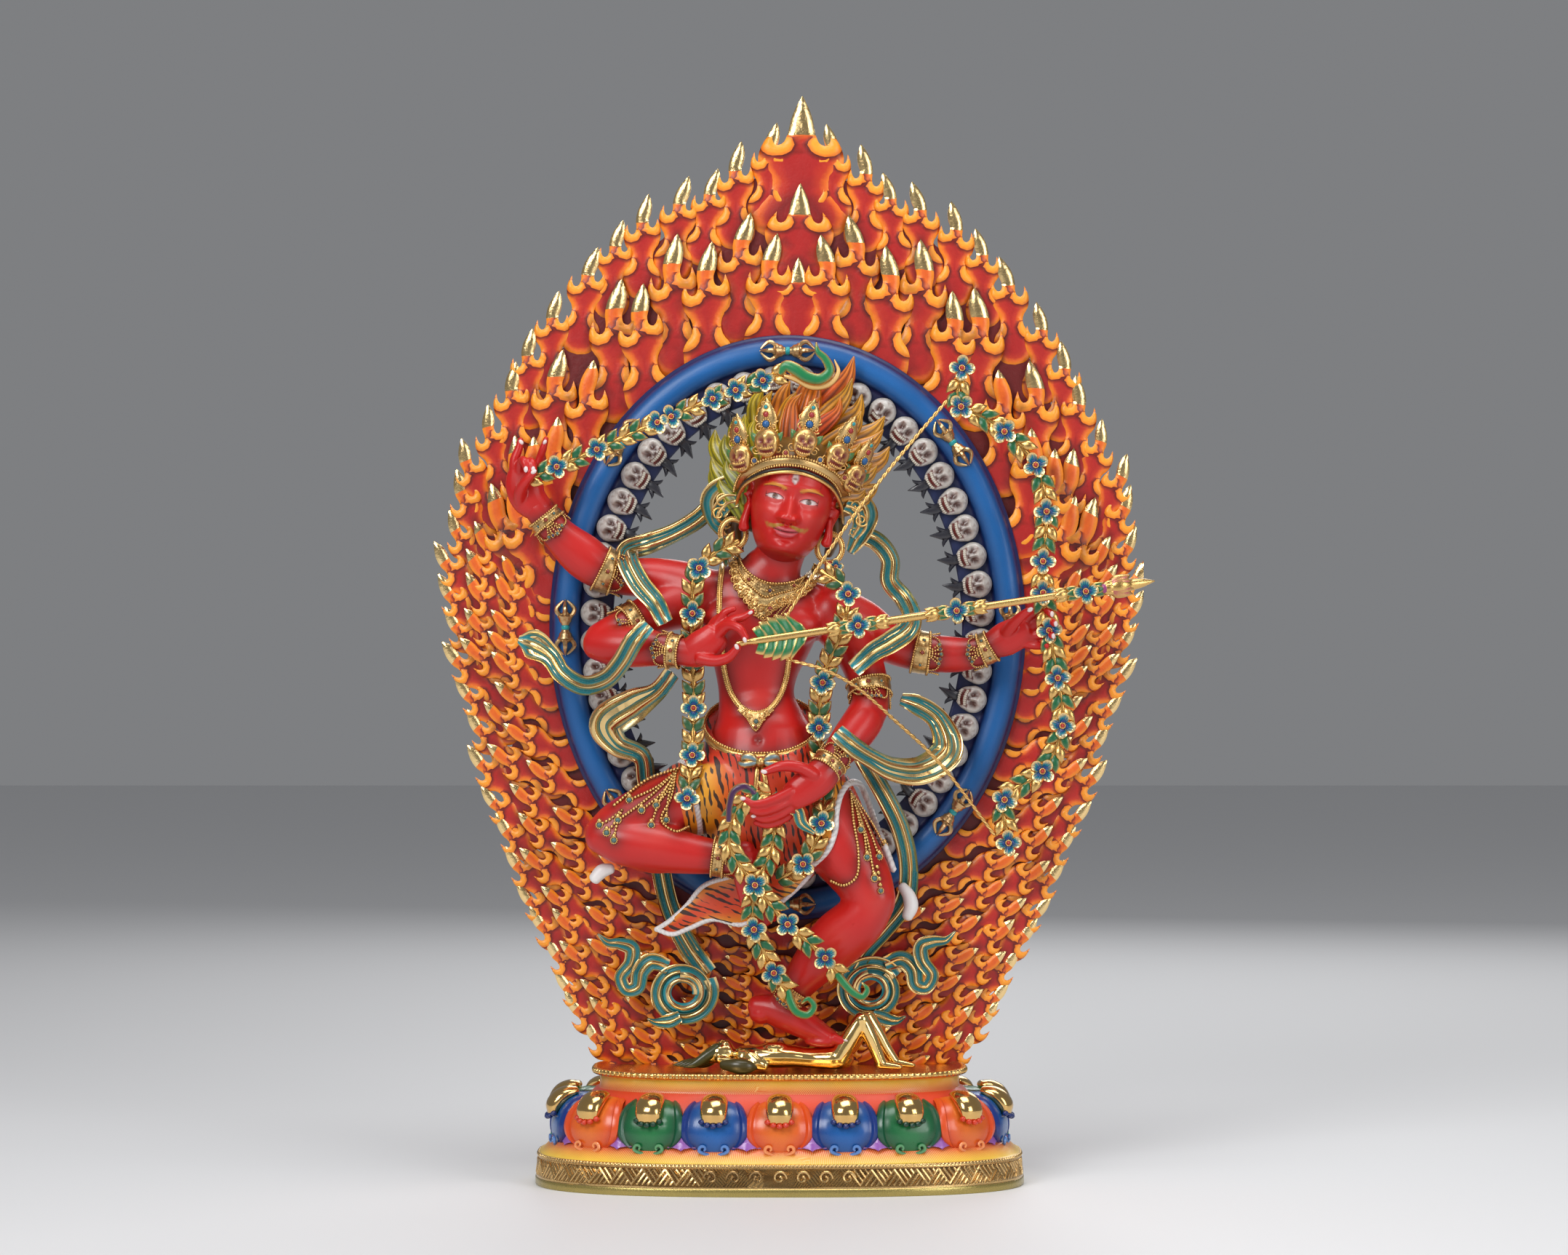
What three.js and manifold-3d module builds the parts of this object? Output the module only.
// A painted and gilded metal Kurukulla: a four-armed dancer on a recumbent figure and a lotus plinth, before a
// ring of skulls and an aureole of flames.
// Millimetres, +Z up. The figure faces -Y, and the origin is the middle of the plinth's underside.
import * as THREE from "three";
import { mergeVertices } from "three/addons/utils/BufferGeometryUtils.js";
import Module from "manifold-3d";

const wasm = await Module();
wasm.setup();

// Driving dimensions of the plinth. Its plan is a superellipse, and each band is [height, half width, half depth].
const PLAN_POWER = 2.7;
const FLOOR_Z = 92.5;
const RIM_Z = 95.5;
const RIM_WIDTH = 5;
const PLINTH_BANDS = [
  [0, 201, 108],
  [24, 198, 105],
  [37, 185, 96],
  [76, 156, 80],
  [80, 148, 76],
  [90, 148, 76],
  [91.5, 153, 80],
  [RIM_Z, 153, 80],
];
const PETALS = 18;
const PETAL_HALF_WIDTH = 26;
const PETAL_TOP = 75;
const PETAL_FOOT = 34;
const PETAL_RING = [185, 97];
const KNOB_HALF_WIDTH = 9;

// Driving dimensions of the ring of skulls behind the figure. It is an upright ellipse.
const RING_CENTRE = new THREE.Vector2(6.6, 456);
const RING_HALF_WIDTH = 198;
const RING_HALF_HEIGHT = 243;
const RING_BAND = 53;
const RING_BACK = 30.6;
const RING_FACE = 25;
const RING_TUBE = 14;
const SKULLS = 48;
const SKULL_HALF_WIDTH = 10.5;
const VAJRAS = 8;
const VAJRA_LENGTH = 47;

// Driving dimensions of the aureole: half its outline as [half width, height], from the plinth up to the tip.
const AUREOLE_HALF = [
  [158, 97],
  [198, 180],
  [235, 262],
  [268, 350],
  [292, 440],
  [298, 500],
  [287, 574],
  [252, 651],
  [204, 728],
  [149, 797],
  [104, 826],
  [53, 855],
  [18, 884],
];
const AUREOLE_TIP = 899;
const AUREOLE_LEAN = 1.35;
const AUREOLE_BACK = 42;
const AUREOLE_FRONT = 36;
const TIER_RISE = 1.7;
const EDGE_FLAMES = 23;
const INNER_FLAMES = 11;
const INNER_INSET = 40;
const FLAME_LENGTH = 62;
const FLAME_HALF_WIDTH = 18;
const RING_LOBES = 8;
const LOBE_RADIUS = 24;

const TOUCH_GAP = 0.5;
const DETAIL_LOSS = 0.6;
const FIT_LOSS = 0.1;
const FORWARD = new THREE.Vector3(0, -1, 0);

// Finishes, one for each colour of the work.
const finish = (color, roughness, metalness) => new THREE.MeshStandardMaterial({ color, roughness, metalness });
const RED_LACQUER = finish(0xb81c14, 0.38, 0);
const FLAME_PAINT = finish(0xc83216, 0.5, 0);
const RING_BLUE = finish(0x0a3d92, 0.45, 0);
const LOTUS_PAINT = finish(0xd8641a, 0.45, 0);
const POLISHED_GOLD = finish(0xd9a441, 0.2, 1);
const MATT_GOLD = finish(0xc79a4b, 0.4, 1);
const FLOWER_PAINT = finish(0x8f9a4a, 0.4, 0.4);
const SCARF_PAINT = finish(0x6fa08c, 0.35, 0.5);
const HAIR_PAINT = finish(0xb08a1c, 0.5, 0);

// Joining and cutting

// A closed geometry as a solid, its faces turned outwards.
function solid(geometry) {
  const bare = geometry.clone();
  bare.deleteAttribute("normal");
  bare.deleteAttribute("uv");
  const merged = mergeVertices(bare, 1e-4);
  const triVerts = new Uint32Array(merged.index.array);
  const build = () =>
    new wasm.Manifold(new wasm.Mesh({ numProp: 3, vertProperties: merged.attributes.position.array, triVerts }));
  const made = build();
  if (made.volume() > 0) return made;
  for (let i = 0; i < triVerts.length; i += 3) {
    [triVerts[i + 1], triVerts[i + 2]] = [triVerts[i + 2], triVerts[i + 1]];
  }
  return build();
}

const join = (solids) => solids.reduce((sum, next) => sum.add(next));
const cut = (shape, ...others) => others.reduce((left, other) => left.subtract(other), shape);

// A solid's surface as a geometry with normals.
function surface(shape) {
  const mesh = shape.getMesh();
  const geometry = new THREE.BufferGeometry();
  geometry.setAttribute("position", new THREE.BufferAttribute(new Float32Array(mesh.vertProperties), 3));
  geometry.setIndex(new THREE.BufferAttribute(new Uint32Array(mesh.triVerts), 1));
  geometry.computeVertexNormals();
  return geometry;
}

// The same solid, proud by the clearance all over: the bed that it leaves in whatever touches it.
const CLEARANCE = solid(new THREE.OctahedronGeometry(TOUCH_GAP));
const bed = (shape) => shape.minkowskiSum(CLEARANCE).simplify(FIT_LOSS);

// A solid as a named mesh. A sliver that a cut leaves loose is dropped.
function piece(name, material, shape) {
  const largest = shape.decompose().reduce((a, b) => (a.volume() > b.volume() ? a : b));
  const made = new THREE.Mesh(surface(largest), material);
  made.name = name;
  return made;
}

// A closed tube of oval rings along a smooth path. A station is [x, y, z, half breadth, half depth]: the breadth
// lies across the path as seen along the facing direction, and the depth runs with that direction.
function loft(stations, { sides = 6, steps = stations.length * 2 - 2, facing = FORWARD } = {}) {
  const path = new THREE.CatmullRomCurve3(stations.map(([x, y, z]) => new THREE.Vector3(x, y, z)));
  const girth = new THREE.CatmullRomCurve3(stations.map(([, , , a, b]) => new THREE.Vector3(a, b, 0)));
  const tube = new THREE.CylinderGeometry(1, 1, 1, sides, steps, false, Math.PI / 2);
  const at = tube.attributes.position;
  for (let i = 0; i < at.count; i++) {
    const t = THREE.MathUtils.clamp(at.getY(i) + 0.5, 0, 1);
    const along = path.getTangent(t);
    const across = new THREE.Vector3().crossVectors(along, facing).normalize();
    const depth = new THREE.Vector3().crossVectors(across, along).normalize();
    const size = girth.getPoint(t);
    const point = path.getPoint(t).addScaledVector(across, at.getX(i) * size.x);
    at.setXYZ(i, ...point.addScaledVector(depth, at.getZ(i) * size.y).toArray());
  }
  return solid(tube);
}

// An upright slab: an outline of [x, z] points between two depths.
function slab(outline, front, back) {
  const shape = new THREE.Shape(outline.map(([x, z]) => new THREE.Vector2(x, z)));
  const geometry = new THREE.ExtrudeGeometry(shape, { depth: back - front, bevelEnabled: false });
  return solid(geometry.rotateX(Math.PI / 2).translate(0, back, 0));
}

const block = (width, depth, z0, z1) =>
  solid(new THREE.BoxGeometry(width, depth, z1 - z0).translate(0, 0, (z0 + z1) / 2));

// The plinth

// A point of the superellipse plan at an angle from +X, for the given half width and half depth.
function planPoint(angle, a, b) {
  const c = Math.cos(angle);
  const s = Math.sin(angle);
  const power = 2 / PLAN_POWER;
  return new THREE.Vector2(a * Math.sign(c) * Math.abs(c) ** power, b * Math.sign(s) * Math.abs(s) ** power);
}

// Parameters that step round a closed plane curve by equal lengths, as shares of one turn.
function equalSteps(count, pointAt, shift = 0) {
  const samples = 1440;
  const run = [0];
  for (let i = 1; i <= samples; i++) {
    run.push(run[i - 1] + pointAt(i / samples).distanceTo(pointAt((i - 1) / samples)));
  }
  return Array.from({ length: count }, (_, k) => {
    const goal = ((k + shift) / count) * run[samples];
    return run.findIndex((r) => r >= goal) / samples;
  });
}

// Plan angles by equal lengths, from the middle of the front.
const planAngles = (count, a, b, shift = 0) => {
  const angle = (t) => -Math.PI / 2 + t * 2 * Math.PI;
  return equalSteps(count, (t) => planPoint(angle(t), a, b), shift).map(angle);
};

function plinthBody() {
  const segments = 24;
  const levels = PLINTH_BANDS.length - 1;
  const angles = planAngles(segments, PLINTH_BANDS[0][1], PLINTH_BANDS[0][2], 0.5);
  const body = new THREE.CylinderGeometry(1, 1, 1, segments, levels);
  const at = body.attributes.position;
  for (let i = 0; i < at.count; i++) {
    const [z, a, b] = PLINTH_BANDS[Math.round((at.getY(i) + 0.5) * levels)];
    const turn = Math.atan2(at.getZ(i), at.getX(i));
    const k = (Math.round((turn / (2 * Math.PI)) * segments) + segments) % segments;
    const middle = Math.hypot(at.getX(i), at.getZ(i)) < 0.5;
    const p = middle ? new THREE.Vector2() : planPoint(angles[k], a, b);
    at.setXYZ(i, p.x, p.y, z);
  }
  return solid(body);
}

// The space inside the rim, as a straight-sided block.
function insideRim(margin) {
  const [, a, b] = PLINTH_BANDS[PLINTH_BANDS.length - 1];
  const outline = new THREE.Shape(planAngles(24, a, b, 0.5).map((angle) => planPoint(angle, a - margin, b - margin)));
  return solid(new THREE.ExtrudeGeometry(outline, { depth: 200, bevelEnabled: false }));
}

// One lotus petal, rolled outwards and down over the plinth's waist, with the knob on its back. A share of 0 is the
// neck of the plinth, and 1 is the petals' outer ring.
function petal(angle) {
  const [, neckA, neckB] = PLINTH_BANDS[3];
  const root = planPoint(angle, neckA, neckB);
  const foot = planPoint(angle, ...PETAL_RING);
  const out = new THREE.Vector3(foot.x - root.x, foot.y - root.y, 0).normalize();
  const on = (share, z, breadth, depth) => [...root.clone().lerp(foot, share).toArray(), z, breadth, depth];
  const half = PETAL_HALF_WIDTH;
  const leaf = [
    on(0.2, PETAL_TOP, half * 0.7, 6),
    on(0.9, PETAL_TOP - 18, half, 15),
    on(0.9, PETAL_FOOT, half * 0.6, 10),
  ];
  const [x, y] = on(1.05);
  const knob = new THREE.OctahedronGeometry(KNOB_HALF_WIDTH).scale(1, 1, 1.5).translate(x, y, PETAL_TOP - 14);
  return loft(leaf, { steps: 2, facing: out }).add(solid(knob));
}

function lotusPlinth() {
  const petals = planAngles(PETALS, ...PETAL_RING).map(petal);
  const dish = insideRim(RIM_WIDTH).intersect(block(600, 400, FLOOR_Z, FLOOR_Z + 60));
  return cut(join([plinthBody(), ...petals]).simplify(DETAIL_LOSS), dish);
}

// The plinth's top with its clearance, which trims whatever stands on it.
function plinthBed() {
  const rim = cut(insideRim(-TOUCH_GAP), insideRim(RIM_WIDTH + TOUCH_GAP));
  return rim.intersect(block(600, 400, 0, RIM_Z + TOUCH_GAP)).add(block(700, 400, 0, FLOOR_Z + TOUCH_GAP));
}

// The recumbent figure under the dancer's foot
function recumbentFigure() {
  const y = -30;
  const trunk = [
    [-62, y, 95, 2.5, 6], [-48, y, 99, 6, 9], [-34, y, 103, 10, 10], [-20, y, 104, 7, 8], [-6, y, 105, 11, 17],
    [12, y, 104, 11, 16], [28, y, 102, 9, 12], [46, y, 103, 10, 14], [56, y, 102, 7, 10],
  ];
  const arm = (dy) => [
    [-6, y + dy, 107, 6, 6], [-26, y + dy, 116, 5, 5], [-40, y + dy * 0.9, 110, 5, 5], [-52, y + dy * 0.4, 98, 4, 5],
  ];
  const leg = (dx, dy) => [
    [[46 + dx, y + dy, 102, 9, 9], [58 + dx, y + dy, 122, 8, 8], [69 + dx, y + dy, 142, 6, 6]],
    [[67 + dx, y + dy, 143, 6, 6], [76 + dx, y + dy, 119, 7, 6], [84 + dx, y + dy, 98, 5, 5], [108 + dx, y + dy, 95, 3, 5]],
  ];
  const limbs = [arm(-13), arm(13), ...leg(0, -6), ...leg(4, 9)];
  return join([
    loft(trunk, { steps: trunk.length - 1 }),
    ...limbs.map((stations) => loft(stations, { sides: 4, steps: stations.length - 1 })),
  ]);
}

// The dancing figure. Each limb is a row of stations from its root outwards.
const TRUNK = [
  [
    [-14, -17, 345, 44, 34], [-15, -18, 364, 46, 37], [-15, -18, 374, 44, 35], [-19, -16, 399, 31, 23],
    [-19, -15, 425, 36, 27], [-16, -14, 455, 50, 31], [-13, -12, 480, 62, 28], [-9, -12, 496, 42, 24], [-7, -13, 504, 26, 22],
  ],
  [
    [-8, -12, 490, 26, 22], [-2, -14, 510, 24, 21], [2, -24, 521, 19, 24], [5, -25, 536, 30, 31],
    [9, -23, 556, 33, 34], [14, -20, 580, 34, 36], [19, -17, 602, 29, 31], [23, -14, 617, 14, 16],
  ],
  [[-15, -18, 366, 44, 35], [-14, -19, 350, 49, 38], [-10, -20, 316, 57, 40], [-4, -22, 276, 50, 33], [0, -24, 246, 26, 16]],
];
const RAISED_LEG = [
  [[-22, -20, 328, 36, 33], [-70, -28, 318, 29, 28], [-110, -38, 303, 25, 25], [-138, -46, 291, 18, 20], [-148, -48, 286, 8, 10]],
  [
    [-146, -50, 286, 10, 12], [-128, -52, 283, 20, 20], [-98, -54, 277, 20, 19], [-66, -56, 272, 15, 15],
    [-50, -56, 270, 18, 18], [-32, -57, 266, 15, 15], [-24, -56, 250, 14, 12], [-18, -52, 230, 13, 8], [-13, -48, 211, 7, 5],
  ],
];
const STANDING_LEG = [
  [
    [12, -20, 325, 38, 34], [44, -32, 284, 32, 31], [68, -42, 250, 25, 26], [76, -46, 229, 20, 22], [64, -43, 217, 23, 23],
    [43, -36, 197, 23, 22], [22, -29, 173, 17, 17], [14, -28, 164, 18, 18], [3, -26, 150, 14, 14],
  ],
  [[-22, -24, 145, 7, 7], [-12, -25, 144, 12, 11], [10, -27, 136, 13, 13], [32, -29, 125, 9, 14], [47, -30, 119, 5, 11]],
];
const ARMS = [
  [
    [-62, -12, 482, 23, 23], [-92, -8, 493, 20, 20], [-114, -8, 497, 18, 18], [-132, -8, 499, 21, 21],
    [-150, -10, 507, 17, 17], [-178, -13, 529, 16, 16], [-190, -14, 540, 18, 17], [-198, -15, 550, 13, 12],
    [-206, -15, 570, 17, 9], [-211, -15, 598, 12, 6],
  ],
  [[-64, -12, 480, 22, 22], [-96, -20, 470, 19, 19], [-111, -24, 463, 22, 22], [-130, -30, 454, 17, 17], [-148, -36, 444, 12, 12]],
  [
    [-150, -38, 442, 10, 10], [-134, -43, 441, 16, 16], [-98, -54, 438, 15, 15], [-82, -58, 436, 18, 17],
    [-70, -61, 434, 12, 11], [-54, -66, 439, 13, 8], [-37, -70, 451, 6, 5],
  ],
  [
    [42, -12, 468, 24, 24], [72, -10, 455, 21, 20], [98, -10, 441, 18, 18], [115, -12, 436, 20, 20],
    [132, -12, 435, 15, 15], [152, -15, 434, 14, 14], [166, -17, 436, 17, 16], [177, -19, 438, 12, 11],
    [194, -22, 442, 15, 9], [209, -23, 453, 6, 5],
  ],
  [
    [44, -14, 466, 22, 22], [64, -22, 436, 18, 18], [70, -28, 418, 21, 21], [74, -36, 400, 16, 16], [70, -44, 384, 16, 16],
    [50, -60, 356, 14, 14], [38, -70, 343, 17, 16], [28, -74, 333, 12, 11], [10, -78, 321, 14, 8], [-12, -80, 308, 5, 4],
  ],
];
const FINGERS = [
  [[-214, -15, 592, 4, 4], [-216, -16, 604, 3.5, 3.5], [-216, -16, 615, 2.5, 2.5]],
  [[-206, -17, 594, 4, 4], [-199, -19, 604, 3.5, 3.5], [-195, -20, 616, 2.5, 2.5]],
  [[-199, -18, 572, 5, 5], [-193, -21, 580, 4, 4], [-192, -22, 588, 3, 3]],
  [[-42, -70, 450, 4, 4], [-34, -72, 458, 3.4, 3.4], [-26, -72, 462, 2.5, 2.5]],
  [[-46, -68, 452, 4, 4], [-40, -70, 464, 3.4, 3.4], [-36, -71, 470, 2.5, 2.5]],
  [[-44, -70, 434, 5, 5], [-34, -73, 433, 4, 4], [-28, -75, 438, 3, 3]],
  [[200, -26, 444, 5, 5], [206, -30, 454, 4, 4], [208, -31, 464, 3, 3]],
  [[18, -78, 330, 5, 5], [4, -80, 334, 3.6, 3.6], [-10, -80, 332, 2.6, 2.6]],
];
const EARS = [
  [[-22, -18, 566, 7, 4], [-25, -18, 552, 5, 4], [-26, -20, 540, 4, 4]],
  [[44, -16, 552, 7, 4], [41, -17, 540, 5, 4], [38, -19, 528, 4, 4]],
];
function dancer() {
  const limbs = [...RAISED_LEG, ...STANDING_LEG, ...ARMS];
  return join([
    ...TRUNK.map((stations) => loft(stations, { sides: 8, steps: stations.length - 1 })),
    ...limbs.map((stations) => loft(stations, { steps: stations.length - 1 })),
    ...[...FINGERS, ...EARS].map((stations) => loft(stations, { sides: 4, steps: 2 })),
  ]);
}

// The tiger skin's two free corners, which swing out behind the legs.
const SKIN_CORNERS = [
  [[2, -40, 252, 18, 4], [-30, -38, 246, 17, 4], [-60, -32, 236, 13, 3.5], [-80, -28, 220, 8, 3], [-101, -26, 210, 1.5, 1.5]],
  [[6, -36, 240, 10, 4], [26, -34, 250, 9, 4], [44, -32, 268, 3, 2]],
];

// Locks of hair that blow up and to the figure's left: [root x, root z, tip x, tip z, half breadth].
const LOCKS = [
  [-34, 566, -58, 606, 12],
  [-22, 580, -43, 637, 15],
  [-8, 598, -14, 656, 15],
  [2, 606, 22, 670, 16],
  [14, 608, 62, 676, 17],
  [28, 604, 78, 656, 15],
  [38, 594, 88, 625, 14],
  [44, 580, 92, 588, 13],
  [44, 566, 82, 560, 11],
];
const HAIR_Y = -4;

function flamingHair() {
  const mass = loft(
    [[-14, HAIR_Y, 548, 34, 14], [4, HAIR_Y, 580, 48, 18], [20, HAIR_Y, 608, 44, 17], [36, HAIR_Y, 636, 20, 9]],
    { steps: 2 },
  );
  const locks = LOCKS.map(([x0, z0, x1, z1, half]) => {
    const bow = (z1 - z0) * 0.12;
    const middle = [(x0 + x1) / 2 - bow, HAIR_Y - 4, (z0 + z1) / 2, half * 0.9, 10];
    return loft([[x0, HAIR_Y, z0, half, 13], middle, [x1, HAIR_Y - 2, z1, 1.5, 2]], { sides: 4, steps: 2 });
  });
  return join([mass, ...locks]);
}

// The crown: five skulls, each with a leaf-shaped jewel above, on a band with a bow at either end.
// A skull is [x, y, z, sideways lean of its jewel].
const CROWN_SKULLS = [
  [-31, -46, 592, -4],
  [-10, -58, 604, -2],
  [20, -60, 604, 4],
  [46, -50, 593, 9],
  [60, -34, 576, 9],
];

function skullCrown() {
  const skulls = CROWN_SKULLS.map(([x, y, z, lean]) => {
    const skull = [[x, y, z - 9, 5, 5], [x, y, z, 9, 9], [x, y, z + 8, 6, 5]];
    const jewel = [[x + lean / 2, y, z + 15, 7, 4], [x + lean, y, z + 26, 1, 1]];
    return loft([...skull, ...jewel], { sides: 4, steps: 4 });
  });
  const band = loft(
    [
      [-31, -20, 568, 6, 8], [-28, -42, 583, 6, 5], [-6, -58, 593, 6, 5], [20, -60, 592, 6, 5], [45, -45, 581, 6, 5],
      [53, -22, 562, 6, 8],
    ],
    { sides: 4, steps: 6, facing: new THREE.Vector3(0.25, 0, 0.97) },
  );
  const bows = [
    [[-30, -20, 568, 5, 6], [-44, -12, 572, 6, 6], [-55, -8, 560, 14, 8], [-48, -6, 541, 10, 7], [-41, -4, 527, 3, 3]],
    [[52, -22, 562, 5, 6], [62, -12, 560, 6, 6], [70, -6, 545, 13, 8], [64, -6, 528, 9, 7], [58, -4, 516, 3, 3]],
  ];
  return join([band, ...skulls, ...bows.map((stations) => loft(stations, { sides: 5, steps: 4 }))]);
}

// A ring hung from each ear, with a drop below it.
const EARRINGS = { earring_right: [-38, -22, 533], earring_left: [41, -20, 521] };
const EARRING_RADIUS = 10;

function earring([x, y, z]) {
  const hoop = solid(new THREE.TorusGeometry(EARRING_RADIUS, 2.4, 3, 8).rotateX(Math.PI / 2).translate(x, y, z));
  return hoop.add(solid(new THREE.OctahedronGeometry(4.5).scale(1, 1, 1.7).translate(x, y, z - 15)));
}

// Flower chains

// A knobbly tube along a route, which swells at each flower and narrows at the leaves between.
const FLOWER_HALF = 10;
const LEAF_HALF = 6.5;
const CHAIN_DEPTH = 4;

function flowerChain(route, flowers) {
  const path = new THREE.CatmullRomCurve3(route.map(([x, y, z]) => new THREE.Vector3(x, y, z)));
  const steps = flowers * 2;
  const stations = Array.from({ length: steps + 1 }, (_, i) => {
    const bloom = i % 2 === 1;
    const half = i === 0 || i === steps ? LEAF_HALF / 2 : bloom ? FLOWER_HALF : LEAF_HALF;
    return [...path.getPointAt(i / steps).toArray(), half, bloom ? CHAIN_DEPTH * 1.4 : CHAIN_DEPTH];
  });
  return loft(stations, { sides: 4, steps });
}

const GARLAND_RIGHT = [
  [-34, -36, 526], [-56, -41, 514], [-69, -42, 498], [-71, -41, 468], [-71, -41, 436], [-70, -43, 400], [-71, -52, 352],
  [-76, -64, 316],
];
const GARLAND_LEFT = [
  [34, -38, 502], [55, -44, 486], [49, -50, 455], [34, -48, 416], [31, -47, 376], [35, -48, 336], [34, -58, 298], [20, -64, 266],
  [0, -66, 252],
];
const GOAD_ROUTE = [
  [-200, -28, 582], [-162, -26, 596], [-123, -24, 614], [-88, -24, 629], [-50, -24, 645], [-14, -26, 658], [10, -28, 668],
  [34, -28, 667], [44, -28, 678], [34, -28, 692],
];
const NOOSE_ROUTES = [
  [
    [-10, -78, 326], [-24, -78, 324], [-38, -80, 302], [-40, -80, 276], [-19, -75, 248], [6, -70, 217], [36, -66, 190],
    [54, -60, 169], [66, -56, 162],
  ],
  [
    [-6, -66, 324], [-4, -68, 300], [-7, -74, 276], [-19, -75, 247], [-19, -72, 212], [-6, -62, 184], [8, -52, 160],
    [26, -48, 148],
  ],
];
const CHAIN_FLOWERS = { garland_right: 6, garland_left: 7, flower_goad: 9, flower_bow: 14, flower_noose: 6 };

// The floral bow: two recurved limbs, and the string drawn to the hand.
const BOW_ROUTE = [
  [149, -30, 668], [147, -30, 638], [166, -30, 628], [186, -30, 614], [209, -30, 589], [218, -30, 551], [215, -32, 510],
  [215, -34, 484], [220, -34, 453], [227, -32, 415], [231, -30, 376], [215, -30, 339], [184, -30, 316], [187, -30, 280],
];
const STRING_ROUTE = [
  [139, -32, 644], [100, -42, 598], [64, -56, 552], [28, -66, 500], [0, -72, 456], [-8, -74, 443], [4, -73, 432],
  [36, -72, 422], [62, -67, 408], [92, -60, 382], [130, -50, 346], [176, -34, 286],
];
const STRING_RADIUS = 1.6;

// The arrow, which runs from the nock at the right hand to the bud past the bow.
const ARROW_NOCK = new THREE.Vector3(-34, -79, 443);
const ARROW_TIP = new THREE.Vector3(306, -44, 494);
const ARROW_FLOWERS = [0.28, 0.52, 0.83];

function arrow() {
  const on = (t, a, b) => [...ARROW_NOCK.clone().lerp(ARROW_TIP, t).toArray(), a, b];
  const shaft = loft([on(0, 2.4, 2.4), on(0.92, 2.6, 2.6)], { sides: 4, steps: 1 });
  const vane = loft([on(0.05, 3, 1.2), on(0.1, 12, 1.6), on(0.18, 11, 1.6), on(0.24, 2.6, 1.2)], { sides: 4, steps: 3 });
  const flowers = ARROW_FLOWERS.map((t) =>
    loft([on(t - 0.055, 3, 3), on(t, FLOWER_HALF, 4.5), on(t + 0.055, 3, 3)], { sides: 4, steps: 2 }),
  );
  const bud = loft([on(0.9, 3, 3), on(0.94, 9, 7), on(0.98, 6, 5), on(1, 2, 2)], { sides: 5, steps: 3 });
  return join([shaft, vane, bud, ...flowers]);
}

// Scarves: flat bands that wind past the arms and flare at their ends. A station is [x, y, z, half width].
const SCARF_HALF_DEPTH = 2.6;
const SCARVES = {
  scarf_upper_right: [
    [-54, 4, 560, 7], [-66, 6, 547, 8], [-86, 10, 535, 8], [-108, 12, 526, 9], [-124, 0, 520, 9], [-124, -26, 510, 9],
    [-114, -40, 492, 9], [-101, -50, 476, 8], [-93, -50, 460, 7],
  ],
  scarf_elbow_right: [
    [-106, -76, 458, 6], [-117, -80, 446, 8], [-128, -74, 428, 8], [-141, -60, 414, 8], [-160, -44, 409, 8],
    [-178, -32, 419, 8], [-188, -26, 433, 9], [-203, -22, 443, 13], [-214, -20, 446, 3],
  ],
  scarf_waist_right: [
    [-88, -30, 419, 7], [-100, -26, 404, 8], [-120, -18, 392, 14], [-142, -14, 376, 15], [-134, -10, 360, 10],
    [-114, -8, 350, 8], [-110, 0, 330, 8], [-102, 8, 300, 8], [-99, 10, 262, 8], [-90, 10, 222, 8], [-74, 10, 190, 9],
    [-60, 8, 170, 9],
  ],
  scarf_upper_left: [
    [62, 6, 534, 7], [80, 6, 527, 8], [91, 6, 512, 8], [91, 6, 494, 8], [102, 2, 480, 8], [108, -16, 466, 8],
    [104, -35, 454, 9], [90, -42, 444, 9], [76, -49, 436, 8], [60, -52, 422, 7],
  ],
  scarf_elbow_left: [
    [46, -78, 372, 7], [58, -76, 361, 8], [74, -66, 350, 8], [92, -56, 341, 10], [116, -42, 340, 12],
    [137, -28, 356, 13], [130, -20, 380, 9], [112, -16, 393, 8], [100, -14, 397, 5],
  ],
  scarf_thigh_left: [
    [66, -14, 352, 7], [86, -12, 318, 8], [100, -8, 288, 8], [106, -6, 258, 8], [103, -2, 230, 8], [86, 4, 206, 8],
    [68, 8, 186, 8], [58, 8, 168, 9],
  ],
};
const SCARF_CURLS = { scarf_waist_right: [-78, 154, -1], scarf_thigh_left: [73, 154, 1] };
const CURL_RADIUS = 26;

function scarf(name) {
  const stations = SCARVES[name].map(([x, y, z, half]) => [x, y, z, half, SCARF_HALF_DEPTH]);
  const band = loft(stations, { sides: 4, steps: stations.length + 2 });
  return name in SCARF_CURLS ? band.add(scarfCurl(...SCARF_CURLS[name])) : band;
}

// The curled cloth at the foot of a long scarf: a flat roundel with a pierced middle, and a tail that blows outwards.
function scarfCurl(x, z, side) {
  const y = 8;
  const oval = (radius, front, back) => {
    const turns = Array.from({ length: 10 }, (_, i) => ((i + 0.5) / 10) * 2 * Math.PI);
    return slab(turns.map((t) => [x + radius * 1.1 * Math.cos(t), z + radius * Math.sin(t)]), front, back);
  };
  const tail = [
    [x + side * 20, y, z + 8, 12, 3], [x + side * 34, y, z + 12, 11, 3], [x + side * 46, y, z + 22, 8, 3],
    [x + side * 56, y, z + 36, 5, 2.4], [x + side * 68, y, z + 50, 1.5, 1.2],
  ];
  const roundel = cut(oval(CURL_RADIUS, y - 5, y + 5), oval(CURL_RADIUS * 0.36, y - 9, y + 9));
  return roundel.add(cut(loft(tail, { sides: 4, steps: 4 }), oval(CURL_RADIUS * 0.6, y - 9, y + 9)));
}

// The ring of skulls

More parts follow.
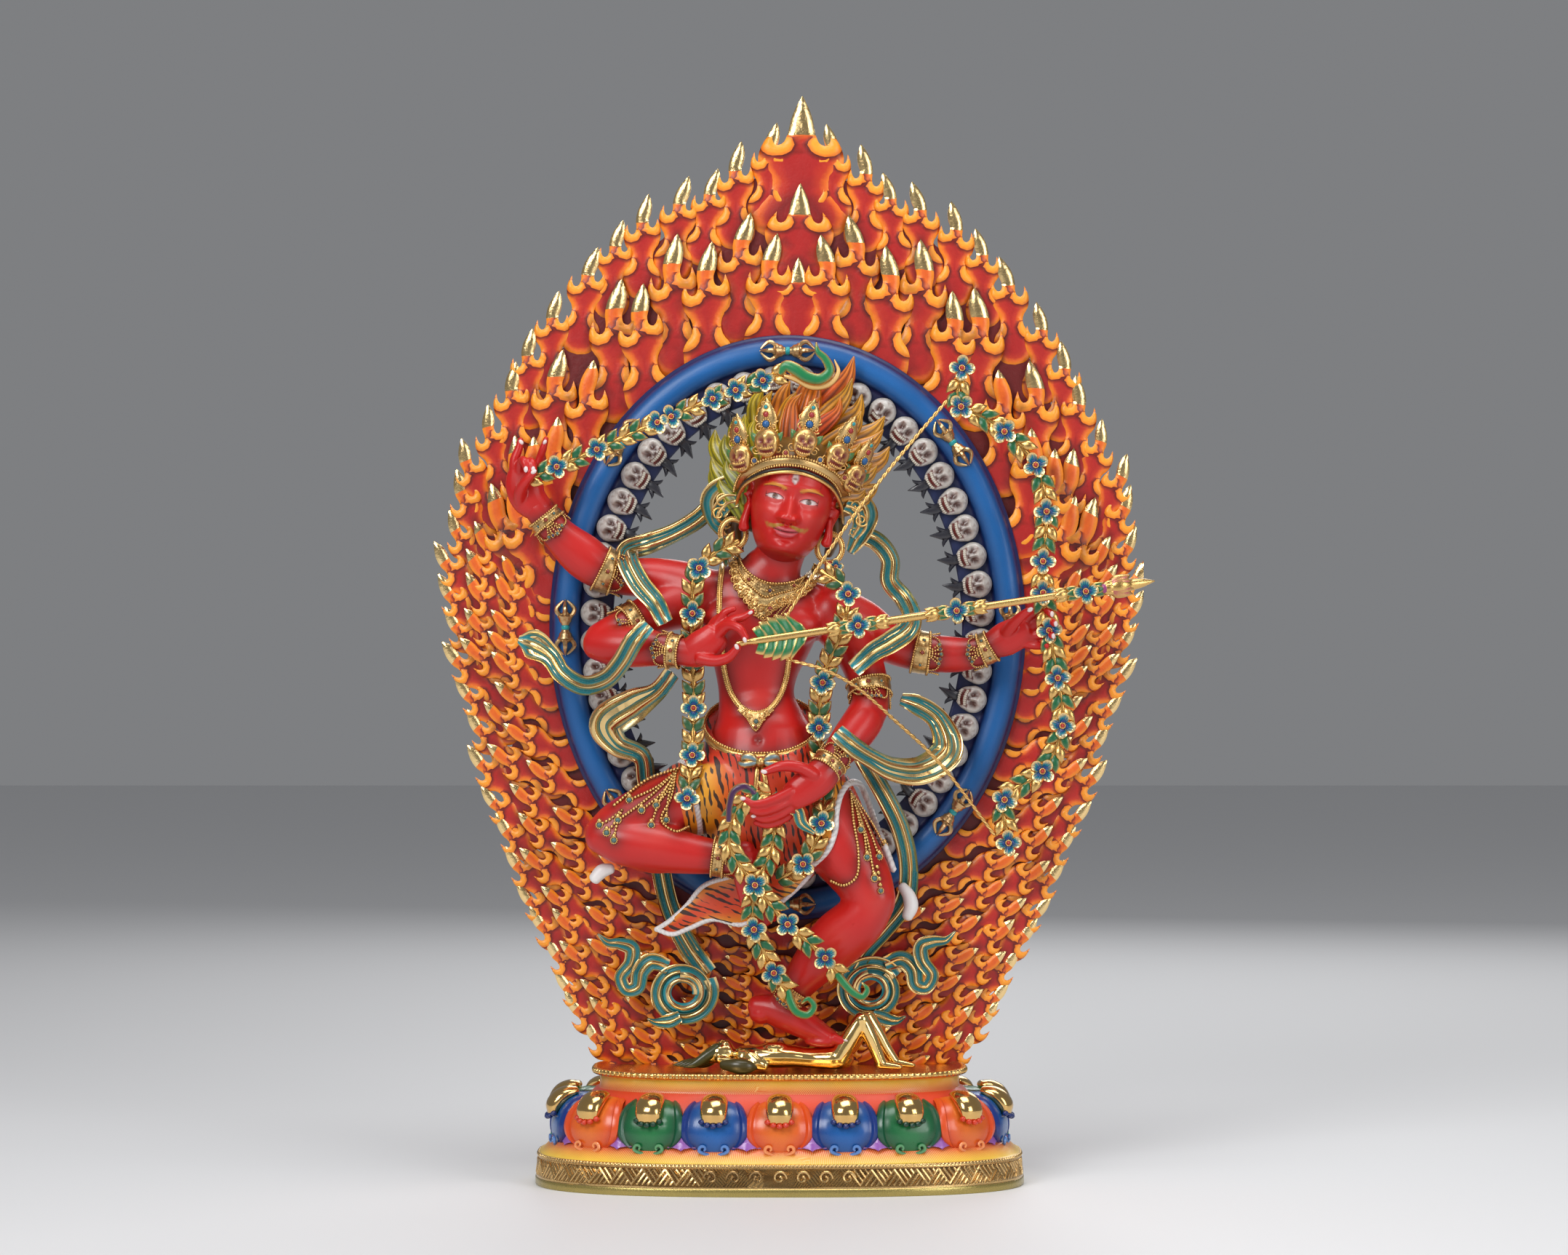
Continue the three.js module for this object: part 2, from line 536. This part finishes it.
// A point of the ellipse inset from the ring's outer edge, and the direction outwards. Angles run clockwise from
// the top.
function ringPoint(angle, inset) {
  const a = RING_HALF_WIDTH - inset;
  const b = RING_HALF_HEIGHT - inset;
  const point = new THREE.Vector2(RING_CENTRE.x + a * Math.sin(angle), RING_CENTRE.y + b * Math.cos(angle));
  const out = new THREE.Vector2(b * Math.sin(angle), a * Math.cos(angle)).normalize();
  return { point, out };
}

const ringAngles = (count, inset, shift = 0) =>
  equalSteps(count, (t) => ringPoint(t * 2 * Math.PI, inset).point, shift).map((t) => t * 2 * Math.PI);

function ringBody() {
  const profile = [
    [0, RING_BACK], [RING_BAND, RING_BACK], [RING_BAND, RING_FACE], [RING_TUBE * 2, RING_FACE],
    [RING_TUBE, RING_FACE - 10],
  ];
  const segments = 28;
  const body = new THREE.TorusGeometry(2, 1, profile.length, segments);
  const at = body.attributes.position;
  for (let i = 0; i < at.count; i++) {
    const [inset, y] = profile[Math.floor(i / (segments + 1)) % profile.length];
    const angle = ((i % (segments + 1)) / segments) * 2 * Math.PI;
    const { point } = ringPoint(angle, inset);
    at.setXYZ(i, point.x, y, point.y);
  }
  return solid(body);
}

// One skull on the ring's inner band, its brow outwards, with the spike below its jaw.
function ringSkull(angle) {
  const { point, out } = ringPoint(angle, RING_BAND - 14);
  const half = SKULL_HALF_WIDTH;
  const outline = [[half, 3], [0, 14], [-half, 3], [0, -30]];
  return slab(
    outline.map(([w, u]) => [point.x + out.x * u + out.y * w, point.y + out.y * u - out.x * w]),
    RING_FACE - 6,
    RING_BACK,
  );
}

// A double-headed vajra laid along the ring's tube.
function vajra(angle) {
  const { point, out } = ringPoint(angle, RING_TUBE);
  const quarter = VAJRA_LENGTH / 4;
  const head = (side) =>
    new THREE.OctahedronGeometry(1).scale(quarter * 1.1, 5, 8).rotateY(Math.atan2(out.x, out.y))
      .translate(point.x + out.y * quarter * side, RING_FACE - 10, point.y - out.x * quarter * side);
  return solid(head(1)).add(solid(head(-1)));
}

function haloRing() {
  const skulls = ringAngles(SKULLS, RING_BAND - 14, 0.5).map(ringSkull);
  return join([ringBody(), ...skulls, ...ringAngles(VAJRAS, RING_TUBE).map(vajra)]);
}

// The aureole of flames

const EDGE = new THREE.CatmullRomCurve3(AUREOLE_HALF.map(([x, z]) => new THREE.Vector3(x, 0, z)));

// A point inside the right half of the outline: a share of the way up, set in by a distance.
function edgePoint(share, inset) {
  const rim = EDGE.getPointAt(share);
  const along = EDGE.getTangentAt(share);
  return new THREE.Vector2(rim.x - along.z * inset, rim.z + along.x * inset);
}

// A flame's lean from upright at its tip and at its root, in degrees: the lower flames blow outwards.
function flameLean(z) {
  const low = THREE.MathUtils.clamp((620 - z) / 420, 0, 1);
  return { tip: -8 + 58 * low, root: 24 + 48 * low };
}

// One tongue of flame as an outline of [x, z] points, from its curved spine: a swelling root, a hooked shoulder on
// each side, a narrow neck and a bent tip. Side is 1 on the right and -1 on the left.
function flameOutline(tip, length, half, side) {
  const lean = flameLean(tip.y);
  const heading = (degrees) => {
    const angle = THREE.MathUtils.degToRad(degrees);
    return new THREE.Vector2(Math.sin(angle) * side, Math.cos(angle));
  };
  const bend = tip.clone().addScaledVector(heading(lean.tip), -length * 0.5);
  const root = bend.clone().addScaledVector(heading(lean.root), -length * 0.5);
  const spine = new THREE.QuadraticBezierCurve(root, bend, tip);
  const at = (share, w) => {
    const p = spine.getPoint(share);
    const along = spine.getTangent(share);
    return [p.x + along.y * half * w * side, p.y - along.x * half * w * side];
  };
  return [at(0, 0.9), at(0.5, 1.05), at(0.6, 0.46), at(1, 0), at(0.72, -0.46), at(0.66, -1), at(0, -0.9)];
}

// Whether a flame's root and tip clear the ring, so that it shows beside it.
function clearOfRing(p, margin) {
  const dx = p.x / (RING_HALF_WIDTH + margin);
  const dz = (p.y - RING_CENTRE.y) / (RING_HALF_HEIGHT + margin);
  return Math.hypot(dx, dz) > 1;
}

// A pierced drop between two tongues, its point upwards.
function teardrop(tip, length, half, side) {
  const outline = flameOutline(tip, length, half, side);
  const [x, z] = outline[2];
  const lean = THREE.MathUtils.degToRad(flameLean(tip.y).root) * side;
  const at = (u, w) => [x + Math.sin(lean) * u + Math.cos(lean) * w, z + Math.cos(lean) * u - Math.sin(lean) * w];
  return slab([at(-9, 0), at(-3, 4), at(12, 0), at(-3, -4)], 0, 60);
}

function flameAureole() {
  const sides = (make) => [make(1), make(-1)];
  const mirror = (p, side) => new THREE.Vector2(p.x * side, p.y);
  const row = (count, inset, shift) =>
    Array.from({ length: count }, (_, i) => edgePoint((i + shift) / count, inset))
      .filter((p) => p.x > 6 && p.y > FLOOR_Z + 18 && clearOfRing(p, 14));
  const edge = row(EDGE_FLAMES, 0, 0.6);
  const flame = (p, rise) => sides((side) =>
    slab(
      flameOutline(mirror(p, side), FLAME_LENGTH, FLAME_HALF_WIDTH, side),
      AUREOLE_FRONT - rise * TIER_RISE,
      rise ? AUREOLE_FRONT + 1 : AUREOLE_BACK,
    ));
  const inner = Array.from({ length: 10 }, (_, i) => edgePoint((i / 9) * 0.94, 26));
  const half = [[inner[0].x, FLOOR_Z - 4], ...inner.map((p) => [p.x, p.y])];
  const core = [...half, [0, AUREOLE_TIP - 34], ...half.map(([x, z]) => [-x, z]).reverse()];
  const crestHalf = [[26, 836], [28, 862], [18, 856], [12, 880]];
  const crest = [...crestHalf, [0, AUREOLE_TIP], ...crestHalf.map(([x, z]) => [-x, z]).reverse()];
  const drops = edge.filter((_, i) => i % 4 === 0).flatMap((p) => sides((side) =>
    teardrop(mirror(p, side), FLAME_LENGTH, FLAME_HALF_WIDTH, side)));
  const centred = (angle, inset) => ringPoint(angle, inset).point.sub(new THREE.Vector2(RING_CENTRE.x, 0));
  const hole = Array.from({ length: 24 }, (_, i) => centred((i / 24) * 2 * Math.PI, 2).toArray());
  const lobes = ringAngles(RING_LOBES, 0, 0.5).map((angle) => {
    const middle = centred(angle, 4);
    const corner = (i) => {
      const turn = (i / 6) * 2 * Math.PI;
      return [middle.x + LOBE_RADIUS * Math.cos(turn), middle.y + LOBE_RADIUS * Math.sin(turn)];
    };
    return slab(Array.from({ length: 6 }, (_, i) => corner(i)), AUREOLE_FRONT - 3 * TIER_RISE, AUREOLE_BACK);
  });
  const plate = join([
    slab(core, AUREOLE_FRONT, AUREOLE_BACK),
    slab(crest, AUREOLE_FRONT, AUREOLE_BACK),
    ...edge.flatMap((p) => flame(p, 0)),
    ...row(INNER_FLAMES, INNER_INSET, 0.4).flatMap((p) => flame(p, 1)),
  ]);
  return cut(plate, slab(hole, 0, 60), ...drops)
    .add(join(lobes))
    .simplify(DETAIL_LOSS)
    .translate([0, 0, -FLOOR_Z])
    .rotate([0, AUREOLE_LEAN, 0])
    .translate([0, 0, FLOOR_Z]);
}

// Assembly: each piece is cut to lie on the ones before it.
const plinth = plinthBed();
const corners = SKIN_CORNERS.map((stations) => loft(stations, { sides: 4, steps: 4 }));
const body = join([dancer(), ...corners]).simplify(DETAIL_LOSS);
const made = [["dancing_figure", RED_LACQUER, body]];
const beds = [bed(body)];

function add(name, material, shape, ...trims) {
  const fitted = cut(shape.simplify(DETAIL_LOSS), ...beds, ...trims).simplify(FIT_LOSS);
  made.push([name, material, fitted]);
  beds.push(bed(fitted));
}

add("recumbent_figure", POLISHED_GOLD, recumbentFigure(), plinth);
add("skull_crown", MATT_GOLD, skullCrown());
add("flaming_hair", HAIR_PAINT, flamingHair());
for (const name of Object.keys(EARRINGS)) add(name, MATT_GOLD, earring(EARRINGS[name]));
add("flower_bow", FLOWER_PAINT, flowerChain(BOW_ROUTE, CHAIN_FLOWERS.flower_bow));
const string = STRING_ROUTE.map((p) => [...p, STRING_RADIUS, STRING_RADIUS]);
add("bowstring", MATT_GOLD, loft(string, { sides: 3, steps: 12 }));
add("arrow", MATT_GOLD, arrow());
add("garland_right", FLOWER_PAINT, flowerChain(GARLAND_RIGHT, CHAIN_FLOWERS.garland_right));
add("garland_left", FLOWER_PAINT, flowerChain(GARLAND_LEFT, CHAIN_FLOWERS.garland_left));
add("flower_goad", FLOWER_PAINT, flowerChain(GOAD_ROUTE, CHAIN_FLOWERS.flower_goad));
add("flower_noose", FLOWER_PAINT, join(NOOSE_ROUTES.map((route) => flowerChain(route, CHAIN_FLOWERS.flower_noose))));
for (const name of Object.keys(SCARVES)) add(name, SCARF_PAINT, scarf(name));
made.push(["halo_ring", RING_BLUE, cut(haloRing().simplify(DETAIL_LOSS), ...beds).simplify(FIT_LOSS)]);
made.push(["flame_aureole", FLAME_PAINT, cut(flameAureole(), ...beds, plinth).simplify(FIT_LOSS)]);

const statue = new THREE.Group();
statue.add(piece("lotus_plinth", LOTUS_PAINT, lotusPlinth()), ...made.map((entry) => piece(...entry)));

export default statue;
